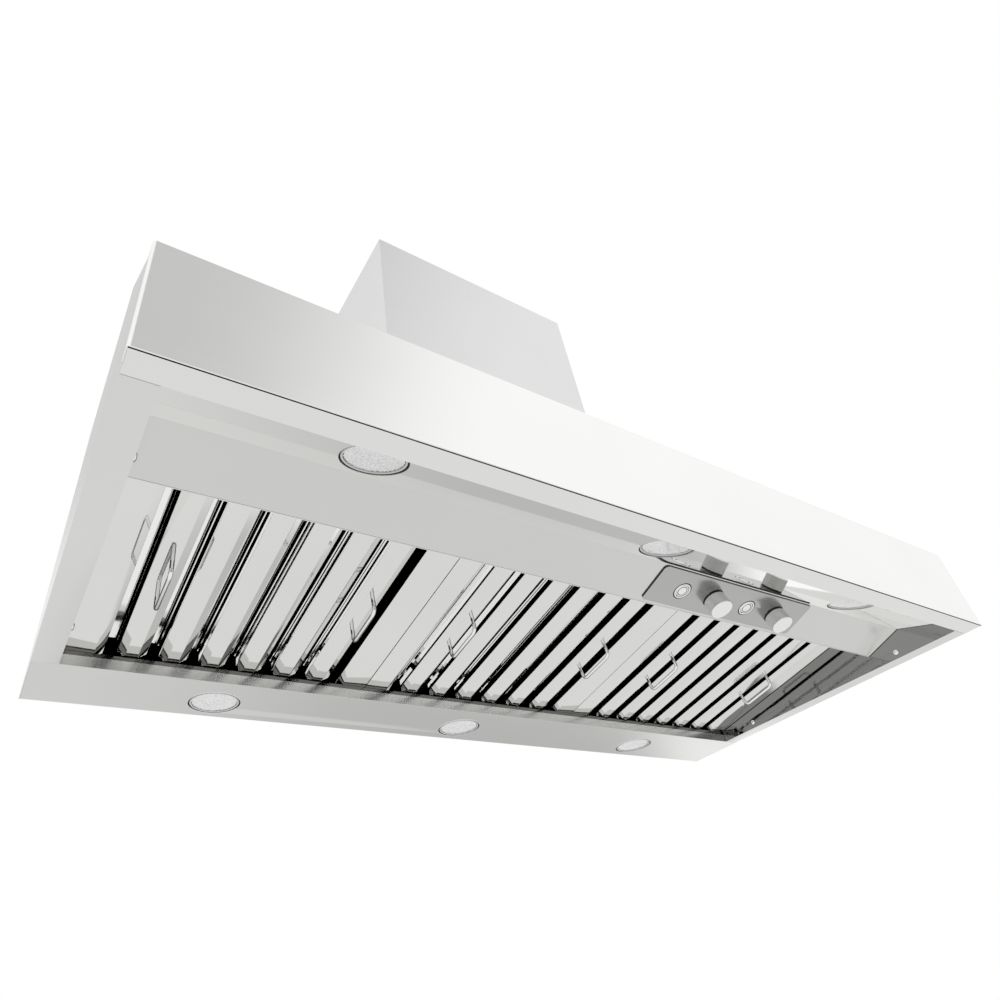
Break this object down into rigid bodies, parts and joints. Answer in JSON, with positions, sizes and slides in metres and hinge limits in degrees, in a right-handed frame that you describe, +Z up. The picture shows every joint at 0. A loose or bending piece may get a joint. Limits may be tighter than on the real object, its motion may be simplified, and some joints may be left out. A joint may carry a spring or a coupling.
{
  "type": "range hood",
  "caption": "Wide wall-mounted canopy range hood in brushed steel with sloped baffle filters, recessed lamps, an inlaid control plate with knobs and buttons, and a tall duct cover.",
  "frame": {"origin": "centre of the rectangle of wall bolts, on the wall plane", "axes": "+X runs right along the wall as the user faces it, -Y points out of the wall towards the user, +Z up"},
  "size_m": [1.2192, 0.6096, 0.8704],
  "materials": {
    "brushed_shell": "brushed",
    "inner_sheet": "satin",
    "galvanised_sheet": "galvanised sheet",
    "screws": "polished",
    "control_plate": "fine brushed",
    "bezels": "satin",
    "buttons": "satin",
    "knobs": "spun, with a fine knurl on the side",
    "pins_and_shafts": "turned",
    "switch_bodies": "moulded",
    "light_rings": "satin",
    "lenses": "frosted",
    "lamp_housings": "die-cast",
    "filter_sheet": "polished",
    "handle_wire": "polished",
    "blower_wheel": "plain",
    "motor": "black enamel",
    "driver_case": "moulded"
  },
  "bodies": {
    "hood": {"front_fascia": "brushed_shell", "front_rail": "brushed_shell", "left_side_panel": "brushed_shell", "right_side_panel": "brushed_shell", "canopy_slope": "brushed_shell", "crown_panel": "brushed_shell", "rear_rail": "brushed_shell", "front_light_panel": "brushed_shell", "control_panel": "brushed_shell", "duct_cover": "brushed_shell", "left_liner": "inner_sheet", "right_liner": "inner_sheet", "filter_front_ledge": "inner_sheet", "control_box_cover": "inner_sheet", "grease_tray": "inner_sheet", "back_panel": "galvanised_sheet", "cover_bracket": "galvanised_sheet", "blower_housing": "galvanised_sheet", "motor_bracket": "galvanised_sheet", "duct_collar": "galvanised_sheet", "junction_box": "galvanised_sheet", "junction_box_cover": "galvanised_sheet", "left_liner_screws": "screws", "right_liner_screws": "screws", "control_plate": "control_plate", "button_bezels": "bezels", "damper_pins": "pins_and_shafts", "push_switches": "switch_bodies", "rotary_switches": "switch_bodies", "front_light_rings": "light_rings", "rear_light_rings": "light_rings", "front_light_lenses": "lenses", "rear_light_lenses": "lenses", "front_lamp_housings": "lamp_housings", "rear_lamp_housings": "lamp_housings", "blower_motor": "motor", "lamp_driver": "driver_case"},
    "left_filter": {"left_filter_frame": "filter_sheet", "left_filter_lower_baffles": "filter_sheet", "left_filter_upper_baffles": "filter_sheet", "left_filter_handles": "handle_wire"},
    "middle_filter": {"middle_filter_frame": "filter_sheet", "middle_filter_lower_baffles": "filter_sheet", "middle_filter_upper_baffles": "filter_sheet", "middle_filter_handles": "handle_wire"},
    "right_filter": {"right_filter_frame": "filter_sheet", "right_filter_lower_baffles": "filter_sheet", "right_filter_upper_baffles": "filter_sheet", "right_filter_handles": "handle_wire"},
    "light_knob": {"light_knob": "knobs", "light_knob_shaft": "pins_and_shafts"},
    "light_button": {"light_button": "buttons"},
    "fan_knob": {"fan_knob": "knobs", "fan_knob_shaft": "pins_and_shafts"},
    "fan_button": {"fan_button": "buttons"},
    "left_damper": {"left_damper_flap": "galvanised_sheet"},
    "right_damper": {"right_damper_flap": "galvanised_sheet"},
    "blower_wheel": {"blower_wheel": "blower_wheel"}
  },
  "joints": [
    {"name": "left_filter_slide", "type": "slide", "parent": "hood", "child": "left_filter", "axis": [0, 0.9848, -0.1736], "range_m": [0, 0.014]},
    {"name": "middle_filter_slide", "type": "slide", "parent": "hood", "child": "middle_filter", "axis": [0, 0.9848, -0.1736], "range_m": [0, 0.014]},
    {"name": "right_filter_slide", "type": "slide", "parent": "hood", "child": "right_filter", "axis": [0, 0.9848, -0.1736], "range_m": [0, 0.014]},
    {"name": "light_knob_turn", "type": "hinge", "parent": "hood", "child": "light_knob", "pos_m": [0.1618, -0.47124, -0.27183], "axis": [0, -0.299, -0.9542], "range_deg": [0, 270]},
    {"name": "fan_knob_turn", "type": "hinge", "parent": "hood", "child": "fan_knob", "pos_m": [0.2938, -0.47124, -0.27183], "axis": [0, -0.299, -0.9542], "range_deg": [0, 270]},
    {"name": "light_button_press", "type": "slide", "parent": "hood", "child": "light_button", "axis": [0, 0.299, 0.9542], "range_m": [0, 0.0018], "stiffness_N_per_m": 800, "springref_m": -0.0015},
    {"name": "fan_button_press", "type": "slide", "parent": "hood", "child": "fan_button", "axis": [0, 0.299, 0.9542], "range_m": [0, 0.0018], "stiffness_N_per_m": 800, "springref_m": -0.0015},
    {"name": "left_damper_hinge", "type": "hinge", "parent": "hood", "child": "left_damper", "pos_m": [-0.006, -0.1524, 0.1764], "axis": [0, 1, 0], "range_deg": [0, 75]},
    {"name": "right_damper_hinge", "type": "hinge", "parent": "hood", "child": "right_damper", "pos_m": [0.006, -0.1524, 0.1764], "axis": [0, -1, 0], "range_deg": [0, 75]},
    {"name": "blower_spin", "type": "hinge", "parent": "hood", "child": "blower_wheel", "pos_m": [0, -0.164, -0.0198], "axis": [1, 0, 0], "continuous": true}
  ]
}
